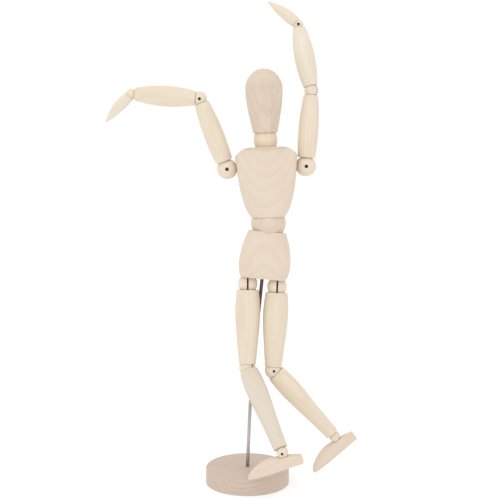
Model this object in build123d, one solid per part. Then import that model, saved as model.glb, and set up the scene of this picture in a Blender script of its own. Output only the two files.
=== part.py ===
from build123d import *
import os
from math import cos, radians, sin, sqrt, tan

# A jointed wooden artist's figure on a rod and a round base. Millimetres, +Z up, and the figure faces -Y.
# The origin is the centre of the underside of the base. +X is the figure's left.

# Base and rod
BASE_RADIUS = 30.0
BASE_THICKNESS = 11.0
BASE_EDGE = 0.6
ROD_RADIUS = 1.25
ROD_SOCKET_FLOOR = 2.0
ROD_LOW_LEAN = 2.4
ROD_HIGH_LEAN = 5.7
ROD_BEND_HEIGHT = 66.0
ROD_BEND_RADIUS = 700.0
ROD_IN_PELVIS = 17.0
ROD_BEHIND_HIPS = 5.4
ROD_BESIDE_HIPS = 0.5
ROD_CLEARANCE = 0.05

# Trunk and head
PELVIS_HEIGHT = 33.2
PELVIS_BOTTOM_Z = 148.6
PELVIS_LEAN = 5.5
PELVIS_BACK_LEAN = 4.0
WAIST_RADIUS = 12.3
WAIST_TO_PELVIS = 6.2
WAIST_TO_TORSO = 4.7
TORSO_HEIGHT = 48.6
TORSO_LEAN = -2.1
SHOULDER_HEIGHT = 34.3
SHOULDER_SPREAD = 27.6
NECK_LENGTH = 10.0
NECK_RADIUS = 8.2
NECK_END_RADIUS = 7.3
NECK_DOME_RADIUS = 10.5
NECK_LEAN = -2.0
HEAD_HEIGHT = 44.0
HEAD_RADIUS = 12.9
HEAD_CHIN_RADIUS = 8.7
HEAD_WIDEST = 30.0
HEAD_FLAT = 11.9
HEAD_FLAT_LEAN = 7.5
HEAD_NOD = -2.0
HIP_DROP = 4.8
HIP_SPREAD = 10.4
WIDE_CHANNEL = 3.2

# Hidden pins in the trunk that hold the springs
PELVIS_PIN_Z = 23.0
PELVIS_PIN_RADIUS = 1.0
PELVIS_PIN_LENGTH = 28.0
TORSO_PIN_LOW = 24.0
TORSO_PIN_HIGH = 40.0
TORSO_PIN_RADIUS = 0.9
TORSO_PIN_LENGTH = 19.0
HEAD_PIN_Z = 16.0
HEAD_PIN_RADIUS = 0.9
HEAD_PIN_LENGTH = 15.0

# Limbs: distances between joint centres, then each ball and how near the wood's end plane comes to its centre
UPPER_ARM = 52.4
FOREARM = 47.4
HAND = 26.3
THIGH = 59.6
SHIN = 65.6
FOOT_LENGTH = 39.3
ANKLE_TO_TOE = 28.0
ANKLE_TO_SOLE = 10.8
HAND_START = 2.3
HAND_WIRE_DEPTH = 9.0
FOOT_WIRE_DEPTH = 8.0
FOOT_SOLE_ROUND = 0.4
FOOT_TOP_ROUND = 0.25
BALL = {"shoulder": 7.15, "elbow": 4.8, "wrist": 3.6, "hip": 6.9, "knee": 5.9, "ankle": 3.9}
PIN = {"shoulder": 1.3, "elbow": 1.1, "wrist": 1.05, "hip": 1.2, "knee": 1.0, "ankle": 1.0}
SHOULDER_END = 6.1
ELBOW_END = 3.1
WRIST_END = 2.6
HIP_END = 4.3
KNEE_END = 3.0
ANKLE_END = 3.0

# The turned outline of each limb, as (distance from the near ball's centre, radius)
PROFILE = {
    "upper_arm": [(SHOULDER_END, 6.0), (19.0, 6.9), (UPPER_ARM - ELBOW_END, 4.9)],
    "forearm": [(ELBOW_END, 4.8), (13.0, 6.5), (FOREARM - WRIST_END, 4.35)],
    "thigh": [(HIP_END, 7.75), (12.0, 8.6), (21.0, 8.9), (33.0, 8.2), (44.0, 7.2), (THIGH - KNEE_END, 6.1)],
    "shin": [(KNEE_END, 6.5), (14.0, 7.4), (22.0, 7.3), (35.0, 6.4), (49.0, 5.5), (SHIN - ANKLE_END, 4.9)],
}

# Fits
SEAT_GAP = 0.12
SLOT_WIDTH = 1.2
PIN_RECESS = 1.1
PIN_FIT = 0.02
EYE_WIRE = 0.25
STEM_WIRE = 0.22
HOOK_GAP = 0.1
HOOK_SHIFT = 0.3
HOOK_HOLE_RADIUS = 0.9
COIL_RADIUS = 1.7
COIL_HOLLOW_RADIUS = 0.9
COIL_PITCH = 1.2
CHANNEL_RADIUS = 2.4
COIL_START = 8.5
COIL_END = 0.6

# Pose of the limbs: the lean of each segment from straight down towards +X, and its reach towards -Y
POSE = {
    "right": {
        "upper_arm": (-159.0, 5.0),
        "forearm": (-93.7, 0.0),
        "hand": (-44.5, 0.0),
        "thigh": (-0.3, 6.6),
        "shin": (25.4, 32.0),
        "foot_tilt": 19.5,
        "foot_yaw": 5.0,
    },
    "left": {
        "upper_arm": (176.2, 0.0),
        "forearm": (-168.9, -9.0),
        "hand": (-127.5, 0.0),
        "thigh": (-2.7, 5.4),
        "shin": (42.4, 0.0),
        "foot_tilt": 40.4,
        "foot_yaw": 0.0,
    },
}
SIDES = {"right": -1, "left": 1}

# The balls whose pin bore is plugged flush at the front
PLUGGED = {"right": ("wrist", "knee"), "left": ("elbow", "ankle")}
ENDWAYS = (Align.CENTER, Align.CENTER, Align.MIN)


def vector(lean, reach):
    """The unit vector that leans from straight down towards +X and reaches towards -Y, in degrees."""
    level = cos(radians(reach))
    return Vector(sin(radians(lean)) * level, -sin(radians(reach)), -cos(radians(lean)) * level)


def frame(centre, z_axis, x_axis):
    """A plane at centre along z_axis, whose X is as near to x_axis as it can be."""
    z = z_axis.normalized()
    x = x_axis - z * x_axis.dot(z)
    return Plane(origin=centre, x_dir=x.normalized(), z_dir=z)


def upright(centre, lean, back=0.0):
    """A frame whose Z leans from vertical towards +X by lean and towards +Y by back."""
    level = cos(radians(back))
    z = Vector(sin(radians(lean)) * level, sin(radians(back)), cos(radians(lean)) * level)
    return frame(centre, z, Vector(1, 0, 0))


def at(plane, x, y, z):
    """The world point at local x, y, z of a frame."""
    return plane.from_local_coords(Vector(x, y, z))


def place(plane, shape):
    return plane.location * shape


def rod_route():
    """The rod's foot in the base, its bend, where it enters the pelvis, and its tip."""
    back = ROD_BEHIND_HIPS / (PELVIS_BOTTOM_Z - BASE_THICKNESS)
    low = Vector(tan(radians(ROD_LOW_LEAN)), back, 1)
    high = Vector(tan(radians(ROD_HIGH_LEAN)), back, 1)
    foot = Vector(0, 0, BASE_THICKNESS) + low * (ROD_SOCKET_FLOOR - BASE_THICKNESS)
    bend = foot + low * (ROD_BEND_HEIGHT - ROD_SOCKET_FLOOR)
    entry = bend + high * (PELVIS_BOTTOM_Z - ROD_BEND_HEIGHT)
    return foot, bend, entry, entry + high * ROD_IN_PELVIS


# ---- The skeleton: a frame for each trunk piece, and the centre of each joint

ROD_FOOT, ROD_BEND, ROD_ENTRY, ROD_TIP = rod_route()
HIPS = ROD_ENTRY + Vector(ROD_BESIDE_HIPS, -ROD_BEHIND_HIPS, 0)
PELVIS = upright(HIPS, PELVIS_LEAN, PELVIS_BACK_LEAN)
WAIST = upright(at(PELVIS, 0, 0, PELVIS_HEIGHT + WAIST_TO_PELVIS), TORSO_LEAN)
TORSO = upright(at(WAIST, 0, 0, WAIST_TO_TORSO), TORSO_LEAN)
NECK_DOME_DEPTH = sqrt(NECK_DOME_RADIUS**2 - NECK_END_RADIUS**2)
NECK = upright(at(TORSO, 0, 0, TORSO_HEIGHT + NECK_DOME_DEPTH), NECK_LEAN).offset(-NECK_DOME_DEPTH)
NOD_CENTRE = at(NECK, 0, 0, NECK_LENGTH - NECK_DOME_DEPTH)
HEAD = upright(NOD_CENTRE, NECK_LEAN, HEAD_NOD).offset(NECK_DOME_DEPTH)


class Limb:
    """The joint centres and directions of one arm and one leg."""

    def __init__(self, side):
        pose = POSE[side]
        out = SIDES[side]
        self.out = out
        self.shoulder = at(TORSO, out * SHOULDER_SPREAD, 0, SHOULDER_HEIGHT)
        self.upper_arm = vector(*pose["upper_arm"])
        self.elbow = self.shoulder + self.upper_arm * UPPER_ARM
        self.forearm = vector(*pose["forearm"])
        self.wrist = self.elbow + self.forearm * FOREARM
        self.hand = vector(*pose["hand"])
        self.hip = at(PELVIS, out * HIP_SPREAD, 0, -HIP_DROP)
        self.thigh = vector(*pose["thigh"])
        self.knee = self.hip + self.thigh * THIGH
        self.shin = vector(*pose["shin"])
        self.ankle = self.knee + self.shin * SHIN
        tilt = radians(pose["foot_tilt"])
        yaw = radians(pose["foot_yaw"])
        self.toe = Vector(-cos(tilt) * cos(yaw), sin(yaw) * cos(tilt), -sin(tilt))
        self.sole_up = frame(self.ankle, self.toe, Vector(0, 0, 1)).x_dir
        self.pins = {
            "shoulder": Vector(0, 1, 0) * out,
            "elbow": self.forearm.cross(self.upper_arm).normalized(),
            "wrist": Vector(0, 1, 0),
            "hip": frame(self.hip, self.thigh, Vector(1, 0, 0)).x_dir,
            "knee": self.shin.cross(self.thigh).normalized(),
            "ankle": self.toe.cross(self.sole_up).normalized(),
        }
        if side == "left":
            self.pins["elbow"] = self.pins["elbow"] * -1


# ---- Turned wood

def turned(outline_points, top_edge=0.5):
    """A solid of revolution about Z with a smooth side through (radius, z) points and flat ends."""
    side = Spline(*outline_points)
    low = outline_points[0]
    high = outline_points[-1]
    outline = side + Polyline(high, (0, high[1]), (0, low[1]), low)
    body = revolve(Plane.XZ * make_face(outline), Axis.Z)
    rims = body.edges().filter_by(GeomType.CIRCLE).sort_by(Axis.Z)
    return fillet([rims[0], rims[-1]], top_edge)


def turned_limb(length, profile, balls):
    """A limb along Z between two ball centres, turned to a profile of (distance, radius) points."""
    body = turned([(radius, z) for z, radius in profile])
    body -= Sphere(balls[0] + SEAT_GAP)
    body -= Pos(0, 0, length) * Sphere(balls[1] + SEAT_GAP)
    return body - Pos(0, 0, length / 2) * Cylinder(CHANNEL_RADIUS, length)


def pin_half(name):
    return sqrt(BALL[name] ** 2 - PIN[name] ** 2) - PIN_RECESS


def pin_bore(name, plugged):
    """The bore for a ball's pin along X, open at both ends, or at one if plugged is the sign of the other."""
    outside = 2 * BALL[name]
    low = -pin_half(name) if plugged < 0 else -outside
    high = pin_half(name) if plugged > 0 else outside
    return Pos(low, 0, 0) * Rot(0, 90, 0) * Cylinder(PIN[name], high - low, align=ENDWAYS)


def ball(name, plugged=0):
    """A pinned ball: X is the pin, and the saw slot opens towards -Y and past the pin."""
    radius = BALL[name]
    behind = PIN[name] + HOOK_GAP + 2 * EYE_WIRE + 0.5
    body = Sphere(radius) - pin_bore(name, plugged)
    slot_depth = radius + 1 + behind
    slot = Pos(0, behind - slot_depth / 2, 0) * Box(SLOT_WIDTH, slot_depth, 3 * radius)
    return body - slot


def shoulder_ball():
    """As the other balls, with the slot opening outwards and a hole from the torso for the hook."""
    hook_hole = Rot(-90, 0, 0) * Cylinder(HOOK_HOLE_RADIUS, 2 * BALL["shoulder"], align=ENDWAYS)
    return ball("shoulder") - hook_hole


def ball_pin(name):
    """The steel pin that crosses a ball along X, shorter than its bore."""
    return Rot(0, 90, 0) * Cylinder(PIN[name] - PIN_FIT, 2 * pin_half(name) - 0.04)


# ---- Springs and wires

def rod_between(start, end, radius):
    """A round bar from start to end."""
    run = end - start
    return Plane(origin=start, z_dir=run).location * Cylinder(radius, run.length, align=ENDWAYS)


def eye(centre, pin, pin_radius):
    """A ring of wire round a pin."""
    return Plane(origin=centre, z_dir=pin).location * Torus(pin_radius + HOOK_GAP + EYE_WIRE, EYE_WIRE)


def hook(centre, pin, pin_radius, shift, ball_radius, towards, reach):
    """An eye round a pin and a stem that leaves the ball inside its slot and ends on the line towards."""
    middle = centre + pin * shift
    in_slot = (towards - pin * towards.dot(pin)).normalized()
    start = middle + in_slot * (pin_radius + HOOK_GAP + EYE_WIRE)
    end = centre + towards * reach
    outside = middle + in_slot * (ball_radius + 0.2)
    if abs(towards.dot(pin)) < 0.05:
        return eye(middle, pin, pin_radius) + rod_between(start, end, STEM_WIRE)
    stem = rod_between(start, outside, STEM_WIRE) + rod_between(outside, end, STEM_WIRE)
    corner = Pos(outside.X, outside.Y, outside.Z) * Sphere(STEM_WIRE + 0.02)
    return eye(middle, pin, pin_radius) + stem + corner


def coil(start, end):
    """A close-wound coil along Z from start to end, closed at each end for the hook's stem."""
    turns = round((end - start) / COIL_PITCH)
    pitch = (end - start) / turns
    valley = COIL_RADIUS - 0.2 * COIL_PITCH
    outline = [(0, start), (valley, start)]
    for turn in range(turns):
        outline += [(COIL_RADIUS, start + (turn + 0.5) * pitch), (valley, start + (turn + 1) * pitch)]
    outline += [(0, end), (0, start)]
    body = revolve(Plane.XZ * make_face(Polyline(*outline)), Axis.Z)
    hollow = end - start - 2 * COIL_END
    return body - Pos(0, 0, (start + end) / 2) * Cylinder(COIL_HOLLOW_RADIUS, hollow)


def spring(near, far):
    """A tension spring between two pins. Each end is (centre, pin axis, pin radius, shift, ball radius)."""
    line = far[0] - near[0]
    length = line.length
    along = line.normalized()
    gap = min(COIL_START, 0.3 * length)
    body = place(Plane(origin=near[0], z_dir=along), coil(gap, length - gap))
    body += hook(*near, along, gap + COIL_END / 2)
    return body + hook(*far, along * -1, gap + COIL_END / 2)


def pin_end(limb, name, shift):
    """The end of a spring that hooks on one of a limb's ball pins."""
    return (getattr(limb, name), limb.pins[name], PIN[name], shift, BALL[name])


# ---- Stand

def base_disc():
    disc = Cylinder(BASE_RADIUS, BASE_THICKNESS, align=ENDWAYS)
    disc = fillet(disc.edges().filter_by(GeomType.CIRCLE).sort_by(Axis.Z)[-1], BASE_EDGE)
    bore_line = ROD_BEND - ROD_FOOT
    return disc - rod_between(ROD_FOOT, ROD_FOOT + bore_line, ROD_RADIUS)


def support_rod():
    route = FilletPolyline(ROD_FOOT, ROD_BEND, ROD_TIP, radius=ROD_BEND_RADIUS)
    section = Plane(origin=route @ 0, z_dir=route % 0) * Circle(ROD_RADIUS)
    return sweep(section, path=route)


# ---- Trunk

def rounded_loft(sections):
    """A smooth body through rounded rectangles given as (z, width, depth, corner radius, y shift)."""
    outlines = []
    for z, width, depth, corner, shift in sections:
        outlines.append(Plane.XY.offset(z) * Pos(0, shift, 0) * RectangleRounded(width, depth, corner))
    return loft(outlines)


def wedge(y, z, lean, size=60.0):
    """A block in front of the plane through (y, z) that faces -Y, its top leaning forward by lean degrees."""
    block = Box(size, size, size, align=(Align.CENTER, Align.MAX, Align.CENTER))
    return Pos(0, y, z) * Rot(lean, 0, 0) * block


def pelvis():
    height = PELVIS_HEIGHT
    body = rounded_loft([
        (0, 32.0, 20.0, 8.0, 0),
        (4.0, 35.0, 23.0, 7.5, 0),
        (11.0, 36.2, 25.0, 7.0, 0),
        (20.0, 34.4, 25.2, 8.0, 0),
        (27.0, 31.0, 25.0, 10.0, 0),
        (height, 26.4, 24.4, 11.8, 0),
    ])
    body -= wedge(-11.6, 12.0, -4.0)
    body -= Pos(0, 0, height + WAIST_TO_PELVIS) * Sphere(WAIST_RADIUS + SEAT_GAP)
    body -= Pos(0, 0, height) * Cylinder(WIDE_CHANNEL, 2 * (height - PELVIS_PIN_Z + 3))
    for side in (-1, 1):
        body -= Pos(side * HIP_SPREAD, 0, -HIP_DROP) * Sphere(BALL["hip"] + SEAT_GAP)
        body -= Pos(side * HIP_SPREAD, 0, 0) * Cylinder(CHANNEL_RADIUS, 2 * (PELVIS_PIN_Z + 2.4))
    body -= Pos(0, 0, PELVIS_PIN_Z) * Rot(0, 90, 0) * Cylinder(PELVIS_PIN_RADIUS + PIN_FIT, 60)
    body = place(PELVIS, body)
    lift = ROD_TIP - ROD_ENTRY
    return body - rod_between(ROD_ENTRY - lift, ROD_TIP + lift * 0.02, ROD_RADIUS + ROD_CLEARANCE)


def pelvis_pin():
    pin = Rot(0, 90, 0) * Cylinder(PELVIS_PIN_RADIUS, PELVIS_PIN_LENGTH)
    return place(PELVIS, Pos(0, 0, PELVIS_PIN_Z) * pin)


def waist_ball():
    """A ball bored along the line of the waist spring."""
    low = at(PELVIS, 0, 0, PELVIS_PIN_Z)
    high = at(TORSO, 0, 0, TORSO_PIN_LOW)
    return place(WAIST, Sphere(WAIST_RADIUS)) - rod_between(low, high, WIDE_CHANNEL)


def torso():
    body = rounded_loft([
        (0, 23.8, 24.2, 9.5, 0),
        (4.0, 29.2, 24.6, 9.0, 0),
        (11.0, 34.2, 25.6, 8.0, 0),
        (21.7, 38.8, 26.2, 7.0, 0),
        (32.0, 41.2, 26.2, 6.5, 0),
        (42.0, 43.4, 24.8, 6.5, 0),
        (TORSO_HEIGHT, 43.8, 23.0, 6.5, 0),
    ])
    body -= wedge(-12.2, 18.0, 1.2)
    body -= wedge(-12.2, 18.0, -3.2)
    body = body & torso_front_outline()
    body -= Pos(0, 0, -WAIST_TO_TORSO) * Sphere(WAIST_RADIUS + SEAT_GAP)
    body -= Pos(0, 0, 0) * Cylinder(WIDE_CHANNEL, 2 * (TORSO_PIN_LOW + 3))
    body -= neck_dome(TORSO_HEIGHT)
    body -= Pos(0, 0, TORSO_HEIGHT) * Cylinder(CHANNEL_RADIUS, 2 * (TORSO_HEIGHT - TORSO_PIN_HIGH + 3))
    for side in (-1, 1):
        body -= Pos(side * SHOULDER_SPREAD, 0, SHOULDER_HEIGHT) * Sphere(BALL["shoulder"] + SEAT_GAP)
    body -= Pos(0, 0, SHOULDER_HEIGHT) * Rot(0, 90, 0) * Cylinder(CHANNEL_RADIUS, 60)
    for z in (TORSO_PIN_LOW, TORSO_PIN_HIGH):
        bore = Rot(-90, 0, 0) * Cylinder(TORSO_PIN_RADIUS + PIN_FIT, 60, align=ENDWAYS)
        body -= Pos(0, -TORSO_PIN_LENGTH / 2 - PIN_FIT, z) * bore
    return place(TORSO, body)


def torso_front_outline():
    """The front view of the torso: a flat neck, sloping round shoulders and straight arm seats."""
    top = TORSO_HEIGHT
    half = 21.9
    right_half = Line((0, top), (12.0, top)) + Spline((12.0, top), (18.5, top - 2.6), (half, top - 6.4))
    points = Polyline((half, top - 6.4), (half, -1), (0, -1), (0, top))
    face = make_face(right_half + points)
    slab = extrude(Plane.XZ * face, 30, both=True)
    return slab + mirror(slab, Plane.YZ)


def neck_dome(height):
    """The ball-shaped seat for the neck, with its top at height plus the dome."""
    return Pos(0, 0, height + NECK_DOME_DEPTH) * Sphere(NECK_DOME_RADIUS + SEAT_GAP)


def torso_pins():
    pin = Rot(90, 0, 0) * Cylinder(TORSO_PIN_RADIUS, TORSO_PIN_LENGTH)
    return Compound([place(TORSO, Pos(0, 0, z) * pin) for z in (TORSO_PIN_LOW, TORSO_PIN_HIGH)])


def neck():
    """A barrel with a domed seat at each end."""
    inner = NECK_LENGTH / 2
    side = ThreePointArc((NECK_END_RADIUS, 0), (NECK_RADIUS, inner), (NECK_END_RADIUS, NECK_LENGTH))
    low_tip = NECK_DOME_DEPTH - NECK_DOME_RADIUS
    low = RadiusArc((0, low_tip), (NECK_END_RADIUS, 0), -NECK_DOME_RADIUS)
    high = RadiusArc((NECK_END_RADIUS, NECK_LENGTH), (0, NECK_LENGTH - low_tip), -NECK_DOME_RADIUS)
    core = Line((0, NECK_LENGTH - low_tip), (0, low_tip))
    body = revolve(Plane.XZ * make_face(low + side + high + core), Axis.Z)
    return place(NECK, body - Cylinder(CHANNEL_RADIUS, 6 * NECK_LENGTH))


def head():
    """A turned egg, widest near the top, with three flats shaved down the face."""
    dome = HEAD_HEIGHT - HEAD_WIDEST
    diagonal = (0.7071 * HEAD_RADIUS, HEAD_WIDEST + 0.7071 * dome)
    crown = Spline((HEAD_RADIUS, HEAD_WIDEST), diagonal, (0, HEAD_HEIGHT), tangents=[(0, 1), (-1, 0)])
    chin = HEAD_CHIN_RADIUS
    jaw = Spline((chin, 0.7), (HEAD_RADIUS, HEAD_WIDEST), tangents=[(0.17, 1), (0, 1)])
    rim = ThreePointArc((chin - 0.7, 0), (chin - 0.2, 0.2), (chin, 0.7))
    floor = Polyline((0, HEAD_HEIGHT), (0, 0), (chin - 0.7, 0))
    body = revolve(Plane.YZ * make_face(rim + jaw + crown + floor), Axis.Z)
    for turn in (-44, 0, 44):
        body -= Rot(0, 0, turn) * wedge(-HEAD_FLAT, HEAD_WIDEST, HEAD_FLAT_LEAN)
    body -= Pos(0, 0, -NECK_DOME_DEPTH) * Sphere(NECK_DOME_RADIUS + SEAT_GAP)
    body -= Cylinder(CHANNEL_RADIUS, 2 * (HEAD_PIN_Z + 3))
    body -= Pos(0, 0, HEAD_PIN_Z) * Rot(0, 90, 0) * Cylinder(HEAD_PIN_RADIUS + PIN_FIT, 60)
    return place(HEAD, body)


def head_pin():
    pin = Rot(0, 90, 0) * Cylinder(HEAD_PIN_RADIUS, HEAD_PIN_LENGTH)
    return place(HEAD, Pos(0, 0, HEAD_PIN_Z) * pin)


def trunk_springs(limbs):
    """The neck, waist and shoulder springs, all held by the torso."""
    across = TORSO.y_dir
    neck_spring = spring(
        (at(TORSO, 0, 0, TORSO_PIN_HIGH), across, TORSO_PIN_RADIUS, 0, 1.6),
        (at(HEAD, 0, 0, HEAD_PIN_Z), HEAD.x_dir, HEAD_PIN_RADIUS, 0, 1.6),
    )
    waist_spring = spring(
        (at(PELVIS, 0, 0, PELVIS_PIN_Z), PELVIS.x_dir, PELVIS_PIN_RADIUS, 0, 1.8),
        (at(TORSO, 0, 0, TORSO_PIN_LOW), across, TORSO_PIN_RADIUS, 0, 1.6),
    )
    right, left = (pin_end(limbs[side], "shoulder", -HOOK_SHIFT) for side in SIDES)
    return Compound([neck_spring, waist_spring, spring(right, left)])


def hip_springs(limbs):
    springs = []
    for limb in limbs.values():
        top = (at(PELVIS, limb.out * HIP_SPREAD, 0, PELVIS_PIN_Z), PELVIS.x_dir, PELVIS_PIN_RADIUS, 0, 1.8)
        springs.append(spring(top, pin_end(limb, "hip", -HOOK_SHIFT)))
    return Compound(springs)


# ---- Hands and feet

def hand():
    """A pointed mitten along Z, flattened across Y, with a round socket at the wrist."""
    stations = [
        (HAND_START, -3.6, 3.6, 3.3),
        (5.5, -4.0, 3.7, 3.1),
        (9.5, -4.1, 3.7, 2.8),
        (13.5, -3.8, 3.4, 2.5),
        (18.0, -2.8, 2.8, 2.0),
        (22.3, -1.4, 1.9, 1.35),
        (25.1, -0.3, 1.1, 0.7),
        (HAND, 0.2, 0.7, 0.3),
    ]
    outlines = []
    for z, left, right, thickness in stations:
        middle = Pos((left + right) / 2, 0, z)
        outlines.append(middle * Ellipse((right - left) / 2, thickness))
    body = loft(outlines) - Sphere(BALL["wrist"] + SEAT_GAP)
    return body - wire_bore(HAND_WIRE_DEPTH)


def foot():
    """A shoe last: X from the ankle towards the toe, Z up, with the ankle ball's centre at the origin."""
    toe = ANKLE_TO_TOE
    stations = [
        (toe - FOOT_LENGTH, -3.6, 3.6, 5.6),
        (-5.0, -4.0, 3.9, 7.2),
        (0.5, -4.4, 4.2, 8.0),
        (7.0, -4.9, 4.6, 8.9),
        (14.0, -5.4, 5.0, 8.5),
        (toe - 7.5, -4.9, 4.5, 6.4),
        (toe - 3.2, -3.7, 3.5, 4.4),
        (toe - 1.0, -2.4, 2.4, 2.8),
        (toe, -1.3, 1.4, 1.6),
    ]
    outlines = []
    for x, outer, inner, height in stations:
        centre = (x, (outer + inner) / 2, height / 2 - ANKLE_TO_SOLE)
        blank = Rectangle(inner - outer, height)
        corners = blank.vertices().sort_by(Axis.Y)
        blank = fillet(corners[:2], FOOT_SOLE_ROUND)
        blank = fillet(blank.vertices().sort_by(Axis.Y)[-2:], FOOT_TOP_ROUND * height)
        outlines.append(Plane(origin=centre, x_dir=(0, 1, 0), z_dir=(1, 0, 0)) * blank)
    body = loft(outlines) - Sphere(BALL["ankle"] + SEAT_GAP)
    return body - wire_bore(FOOT_WIRE_DEPTH)


def wire_bore(depth):
    """The hole for an end wire, beside the centre line by the shift of its eye."""
    return Pos(0, -HOOK_SHIFT, 0) * Cylinder(STEM_WIRE + PIN_FIT, 2 * (depth + 0.1))


def end_wire(centre, pin, name, towards, depth):
    """The wire that holds a hand or foot to its ball's pin."""
    middle = centre + pin * HOOK_SHIFT
    start = middle + towards * (PIN[name] + HOOK_GAP + EYE_WIRE)
    return eye(middle, pin, PIN[name]) + rod_between(start, middle + towards * depth, STEM_WIRE)


# ---- Assembly

def limb_parts(side, limb):
    """Every piece of one arm and one leg, by node name."""
    parts = {}
    pins = limb.pins
    segments = {
        "upper_arm": ("shoulder", "elbow", UPPER_ARM),
        "forearm": ("elbow", "wrist", FOREARM),
        "thigh": ("hip", "knee", THIGH),
        "shin": ("knee", "ankle", SHIN),
    }
    for name, (near, far, length) in segments.items():
        line = frame(getattr(limb, near), getattr(limb, name), pins[near])
        wood = turned_limb(length, PROFILE[name], (BALL[near], BALL[far]))
        parts[f"{side}_{name}"] = place(line, wood)
        ends = pin_end(limb, near, HOOK_SHIFT), pin_end(limb, far, -HOOK_SHIFT)
        parts[f"{side}_{name}_spring"] = spring(*ends)
    towards_body = {
        "shoulder": Vector(0, 0, 1),
        "elbow": limb.upper_arm * -1,
        "wrist": limb.forearm * -1,
        "hip": limb.thigh * -1,
        "knee": limb.thigh * -1,
        "ankle": limb.shin * -1,
    }
    for name, upwards in towards_body.items():
        seat = frame(getattr(limb, name), pins[name], upwards)
        seat = Plane(origin=seat.origin, x_dir=seat.z_dir, z_dir=seat.x_dir)
        front = 1 if pins[name].Y < 0 else -1
        plugged = front if name in PLUGGED[side] else 0
        shape = shoulder_ball() if name == "shoulder" else ball(name, plugged)
        parts[f"{side}_{name}_ball"] = place(seat, shape)
        parts[f"{side}_{name}_pin"] = place(seat, ball_pin(name))
    parts[f"{side}_hand"] = place(frame(limb.wrist, limb.hand, limb.hand.cross(pins["wrist"])), hand())
    parts[f"{side}_hand_wire"] = end_wire(limb.wrist, pins["wrist"], "wrist", limb.hand, HAND_WIRE_DEPTH)
    parts[f"{side}_foot"] = place(Plane(origin=limb.ankle, x_dir=limb.toe, z_dir=limb.sole_up), foot())
    down = limb.sole_up * -1
    parts[f"{side}_foot_wire"] = end_wire(limb.ankle, pins["ankle"], "ankle", down, FOOT_WIRE_DEPTH)
    return parts


def build():
    limbs = {side: Limb(side) for side in SIDES}
    parts = {
        "base_disc": base_disc(),
        "support_rod": support_rod(),
        "pelvis": pelvis(),
        "pelvis_pin": pelvis_pin(),
        "hip_springs": hip_springs(limbs),
        "waist_ball": waist_ball(),
        "torso": torso(),
        "torso_pins": torso_pins(),
        "torso_springs": trunk_springs(limbs),
        "neck": neck(),
        "head": head(),
        "head_pin": head_pin(),
    }
    for side, limb in limbs.items():
        parts.update(limb_parts(side, limb))
    return parts


os.makedirs("parts", exist_ok=True)
for node, shape in build().items():
    export_step(shape, f"parts/{node}.step")
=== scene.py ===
import math

import bpy
import numpy as np
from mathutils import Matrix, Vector

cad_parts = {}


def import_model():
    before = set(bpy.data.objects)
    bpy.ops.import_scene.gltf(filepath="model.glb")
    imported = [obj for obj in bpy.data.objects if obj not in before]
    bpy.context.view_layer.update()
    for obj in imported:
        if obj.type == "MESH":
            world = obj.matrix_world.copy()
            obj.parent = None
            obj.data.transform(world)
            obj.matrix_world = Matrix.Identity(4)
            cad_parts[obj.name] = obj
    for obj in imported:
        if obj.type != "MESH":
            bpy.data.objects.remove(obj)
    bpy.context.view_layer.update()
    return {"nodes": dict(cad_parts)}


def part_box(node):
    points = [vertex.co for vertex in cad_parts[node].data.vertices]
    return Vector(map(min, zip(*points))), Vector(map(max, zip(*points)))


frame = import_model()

# ---- Camera, in metres

CAMERA_PLACE = (0.00181, -0.6684, 0.2449)
CAMERA_TILT = 6.5
FOCAL_SHARE = 953.0 / 500.0
SENSOR = 36.0

# ---- Wood colours (linear) and their lie in the grain

PALE = (0.735, 0.625, 0.515)
CREAM = (0.69, 0.56, 0.43)
TAN = (0.60, 0.45, 0.32)
HEAD_PALE = (0.70, 0.60, 0.50)
NECK_PALE = (0.82, 0.67, 0.51)
LIMB_PALE = (0.78, 0.68, 0.54)
COOL_PALE = (0.71, 0.64, 0.55)
LIGHT_PALE = (0.79, 0.72, 0.61)
BALL_PALE = (0.79, 0.69, 0.56)
BASE_PALE = (0.61, 0.50, 0.41)
BASE_DARK = (0.53, 0.39, 0.32)
MILLIMETRES = 1000.0
FIBRE_CONTRAST = 0.35
CLOUD_CONTRAST = 0.35
FIBRE_BUMP = 0.25
FIBRE_HEIGHT = 0.00008

# ---- The rod is darker near its foot, and near its top its colour is darkened as a painted reflection of dark surroundings, over these lengths in metres

DARK_FOOT_LENGTH = 0.03
PAINTED_REFLECTION_LENGTH = 0.13
# Over 1, so that a stretch at the very top is fully dark with the painted reflection
PAINTED_REFLECTION_RISE = 1.7

# ---- Floor and lights, placed in metres

FLOOR_SIZE = 12.0
FLOOR_GREY = (0.55, 0.55, 0.55)
FLOOR_GLOW = 0.5
KEY_PLACE = (-0.35, -0.9, 0.75)
KEY_TARGET = (0, 0, 0.17)
KEY_SIZE = 0.7
KEY_WATTS = 1.1
TOP_PLACE = (0.0, -0.1, 1.1)
TOP_TARGET = (0, 0, 0.3)
TOP_SIZE = 0.4
TOP_WATTS = 0.8


def long_axis(node):
    """The direction in which a node's mesh is longest."""
    mesh = frame["nodes"][node].data
    points = np.empty(len(mesh.vertices) * 3)
    mesh.vertices.foreach_get("co", points)
    points = points.reshape(-1, 3)
    spread = np.linalg.svd(points - points.mean(axis=0), full_matrices=False)[2]
    return Vector(spread[0])


def middle(node):
    low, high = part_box(node)
    return (Vector(low) + Vector(high)) / 2


# ---- Materials

def new_material(name):
    material = bpy.data.materials.new(name)
    material.use_nodes = True
    nodes = material.node_tree.nodes
    return material, nodes, material.node_tree.links, nodes["Principled BSDF"]


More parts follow.
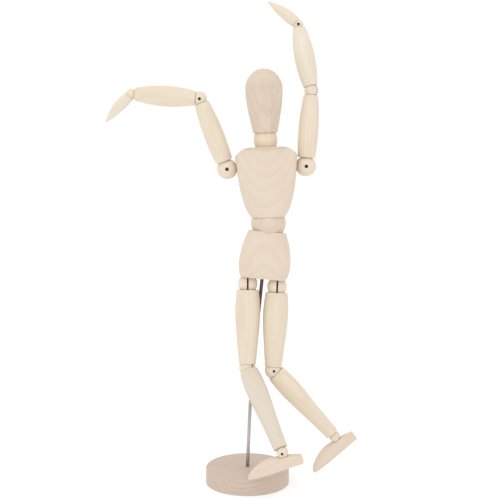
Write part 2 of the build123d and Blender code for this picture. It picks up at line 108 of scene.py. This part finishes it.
def grain_space(nodes, links, centre, axis, lie):
    """Coordinates in millimetres with the grain along Z, moved by lie from the heart of the tree."""
    turn = axis.rotation_difference(Vector((0, 0, 1)))
    shift = Vector(lie) - turn @ (centre * MILLIMETRES)
    source = nodes.new("ShaderNodeTexCoord")
    mapping = nodes.new("ShaderNodeMapping")
    mapping.inputs["Rotation"].default_value = turn.to_euler()
    mapping.inputs["Scale"].default_value = (MILLIMETRES,) * 3
    mapping.inputs["Location"].default_value = shift
    links.new(source.outputs["Object"], mapping.inputs["Vector"])
    return mapping.outputs["Vector"]


def stretched_noise(nodes, links, space, across, along, detail=3.0):
    """Noise whose spots are about 1/across millimetres wide and 1/along long."""
    mapping = nodes.new("ShaderNodeMapping")
    mapping.inputs["Scale"].default_value = (across, across, along)
    noise = nodes.new("ShaderNodeTexNoise")
    noise.inputs["Scale"].default_value = 1.0
    noise.inputs["Detail"].default_value = detail
    links.new(space, mapping.inputs["Vector"])
    links.new(mapping.outputs["Vector"], noise.inputs["Vector"])
    return noise.outputs["Fac"]


def remap(nodes, links, value, low, high, out_low=0.0, out_high=1.0):
    span = nodes.new("ShaderNodeMapRange")
    span.inputs["From Min"].default_value = low
    span.inputs["From Max"].default_value = high
    span.inputs["To Min"].default_value = out_low
    span.inputs["To Max"].default_value = out_high
    links.new(value, span.inputs["Value"])
    return span.outputs["Result"]


def mix(nodes, links, factor, first, second):
    """Mixes two colours; each is a plain colour or another node's output."""
    node = nodes.new("ShaderNodeMix")
    node.data_type = "RGBA"
    links.new(factor, node.inputs["Factor"])
    for socket, colour in ((node.inputs[6], first), (node.inputs[7], second)):
        if isinstance(colour, tuple):
            socket.default_value = (*colour, 1.0)
        else:
            links.new(colour, socket)
    return node.outputs[2]


def wood(name, centre, axis, lie, pale=PALE, dark=CREAM, spacing=2.6, rings=0.6):
    """Wood whose grain runs along axis: spacing is a year ring in millimetres and rings is their contrast."""
    material, nodes, links, shader = new_material(name)
    space = grain_space(nodes, links, centre, axis, lie)
    wave = nodes.new("ShaderNodeTexWave")
    wave.wave_type = "RINGS"
    wave.rings_direction = "Z"
    wave.wave_profile = "SAW"
    wave.inputs["Scale"].default_value = 2 * math.pi / (20 * spacing)
    wave.inputs["Distortion"].default_value = 2.2
    wave.inputs["Detail"].default_value = 2.0
    wave.inputs["Detail Scale"].default_value = 0.25
    stretch = nodes.new("ShaderNodeMapping")
    stretch.inputs["Scale"].default_value = (1.0, 1.0, 0.2)
    links.new(space, stretch.inputs["Vector"])
    links.new(stretch.outputs["Vector"], wave.inputs["Vector"])
    late = remap(nodes, links, wave.outputs["Fac"], 0.45, 1.0, 0.0, rings)
    fibre = stretched_noise(nodes, links, space, 1.6, 0.05)
    cloud = stretched_noise(nodes, links, space, 0.09, 0.03, 1.0)
    colour = mix(nodes, links, late, pale, dark)
    colour = mix(nodes, links, remap(nodes, links, fibre, 0.48, 0.75, 0.0, FIBRE_CONTRAST), colour, dark)
    colour = mix(nodes, links, remap(nodes, links, cloud, 0.35, 0.75, 0.0, CLOUD_CONTRAST), colour, dark)
    links.new(colour, shader.inputs["Base Color"])
    links.new(remap(nodes, links, fibre, 0.3, 0.7, 0.42, 0.58), shader.inputs["Roughness"])
    shader.inputs["Specular IOR Level"].default_value = 0.35
    bump = nodes.new("ShaderNodeBump")
    bump.inputs["Strength"].default_value = FIBRE_BUMP
    bump.inputs["Distance"].default_value = FIBRE_HEIGHT
    links.new(fibre, bump.inputs["Height"])
    links.new(bump.outputs["Normal"], shader.inputs["Normal"])
    return material


def steel(name, colour, roughness):
    material, nodes, links, shader = new_material(name)
    source = nodes.new("ShaderNodeTexCoord")
    noise = nodes.new("ShaderNodeTexNoise")
    noise.inputs["Scale"].default_value = 900.0
    noise.inputs["Detail"].default_value = 2.0
    links.new(source.outputs["Object"], noise.inputs["Vector"])
    spots = remap(nodes, links, noise.outputs["Fac"], 0.3, 0.7, roughness - 0.06, roughness + 0.08)
    links.new(spots, shader.inputs["Roughness"])
    shader.inputs["Base Color"].default_value = (*colour, 1.0)
    shader.inputs["Metallic"].default_value = 1.0
    return material


def rod_with_painted_reflection(name, bright, dull, low, high):
    """Steel that is bright along its middle, darker near its foot, and darkened near its top as a painted
    reflection of dark surroundings, at heights low and high.
    """
    material = steel(name, bright, 0.28)
    nodes, links = material.node_tree.nodes, material.node_tree.links
    source = nodes.new("ShaderNodeTexCoord")
    height = nodes.new("ShaderNodeSeparateXYZ")
    links.new(source.outputs["Object"], height.inputs["Vector"])
    at_foot = remap(nodes, links, height.outputs["Z"], low, low + DARK_FOOT_LENGTH, 1.0, 0.0)
    painted_reflection_share = remap(nodes, links, height.outputs["Z"], high - PAINTED_REFLECTION_LENGTH, high, 0.0, PAINTED_REFLECTION_RISE)
    # Painted reflection: the colour turns dark towards the rod's top to stand for dark surroundings mirrored
    # in the steel; it turns dark towards the foot too
    colour = mix(nodes, links, painted_reflection_share, mix(nodes, links, at_foot, bright, dull), dull)
    links.new(colour, nodes["Principled BSDF"].inputs["Base Color"])
    return material


def dress(node, material):
    for slot in frame["nodes"][node].material_slots:
        slot.material = material


def dress_in_wood(node, axis, lie, **look):
    dress(node, wood(f"{node}_wood", middle(node), axis, lie, **look))


def lie_of(node):
    """Where a piece was cut from its tree: a repeatable offset from the heart, by the piece's name."""
    seed = sum(ord(letter) * (place + 3) for place, letter in enumerate(node))
    turn = math.radians(seed * 47 % 360)
    reach = 22.0 + seed % 11
    return (reach * math.cos(turn), reach * math.sin(turn), seed % 90)


UP = Vector((0, 0, 1))
ACROSS = Vector((1, 0, 0))
LIMB_TINTS = {"right_shin": COOL_PALE, "left_forearm": LIGHT_PALE, "right_hand": LIGHT_PALE}
LIMB_WORDS = ("upper_arm", "forearm", "thigh", "shin", "hand", "foot")
# Pin steel nearly black: painted shade of the recessed pin ends, far darker than the steel's own tone
pin_steel = steel("pin_steel", (0.06, 0.05, 0.042), 0.45)
rod_low, rod_high = (point[2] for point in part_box("support_rod"))
# The dark tone is a painted reflection at the rod's top and a darker stretch at its foot
rod_steel = rod_with_painted_reflection("rod_steel", (0.50, 0.48, 0.45), (0.15, 0.12, 0.10), rod_low, rod_high)
spring_steel = steel("spring_steel", (0.24, 0.23, 0.22), 0.38)

for node in frame["nodes"]:
    if node.endswith(("_pin", "_pins")):
        dress(node, pin_steel)
    elif node.endswith(("spring", "springs", "wire")):
        dress(node, spring_steel)
    elif node == "support_rod":
        dress(node, rod_steel)
    elif node.endswith(LIMB_WORDS):
        pale = LIMB_TINTS.get(node, PALE if node.endswith("foot") else LIMB_PALE)
        dress_in_wood(node, long_axis(node), lie_of(node), pale=pale, rings=0.35)
    elif node == "waist_ball":
        dress_in_wood(node, ACROSS, (6.0, 70.0, 0.0), dark=TAN, rings=0.3)
    elif node.endswith("_ball"):
        dress_in_wood(node, UP, lie_of(node), pale=BALL_PALE, rings=0.3)

dress_in_wood("torso", Vector((0.0, -0.30, 1.0)).normalized(), (0.0, -16.0, 0.0), spacing=3.0, rings=0.45)
dress_in_wood("pelvis", Vector((0.0, 0.35, 1.0)).normalized(), (0.0, -15.0, 0.0), spacing=2.8)
dress_in_wood("head", Vector((0.02, 0.06, 1.0)).normalized(), (3.0, -34.0, 0.0), pale=HEAD_PALE, dark=TAN,
              spacing=3.4, rings=0.3)
dress_in_wood("neck", UP, (9.0, 20.0, 0.0), pale=NECK_PALE)
dress("base_disc", wood("base_wood", middle("base_disc"), Vector((1.0, 0.05, 0.12)).normalized(),
                        (10.0, 34.0, 0.0), pale=BASE_PALE, dark=BASE_DARK, spacing=3.0))

# ---- Floor, light and camera

def floor():
    bpy.ops.mesh.primitive_plane_add(size=FLOOR_SIZE, location=(0, 0, 0))
    plane = bpy.context.object
    plane.name = "floor"
    material, nodes, links, shader = new_material("floor_white")
    shader.inputs["Base Color"].default_value = (*FLOOR_GREY, 1.0)
    shader.inputs["Roughness"].default_value = 0.9
    shader.inputs["Specular IOR Level"].default_value = 0.0
    shader.inputs["Emission Color"].default_value = (1.0, 1.0, 1.0, 1.0)
    shader.inputs["Emission Strength"].default_value = FLOOR_GLOW
    plane.data.materials.append(material)


def area_light(name, place, target, size, power):
    light = bpy.data.lights.new(name, "AREA")
    light.shape = "SQUARE"
    light.size = size
    light.energy = power
    lamp = bpy.data.objects.new(name, light)
    lamp.location = place
    lamp.rotation_euler = (Vector(target) - Vector(place)).to_track_quat("-Z", "Y").to_euler()
    bpy.context.collection.objects.link(lamp)


def world():
    sky = bpy.data.worlds.new("studio")
    sky.use_nodes = True
    bpy.context.scene.world = sky
    background = sky.node_tree.nodes["Background"]
    background.inputs["Color"].default_value = (1.0, 1.0, 1.0, 1.0)
    background.inputs["Strength"].default_value = 1.0


def camera():
    data = bpy.data.cameras.new("camera")
    data.sensor_width = SENSOR
    data.lens = FOCAL_SHARE * SENSOR
    data.clip_start = 0.01
    data.clip_end = 50.0
    eye = bpy.data.objects.new("camera", data)
    eye.location = CAMERA_PLACE
    eye.rotation_euler = (math.radians(90.0 - CAMERA_TILT), 0, 0)
    bpy.context.collection.objects.link(eye)
    bpy.context.scene.camera = eye


floor()
world()
camera()
area_light("key", KEY_PLACE, KEY_TARGET, KEY_SIZE, KEY_WATTS)
area_light("top", TOP_PLACE, TOP_TARGET, TOP_SIZE, TOP_WATTS)
bpy.context.scene.view_settings.view_transform = "Standard"
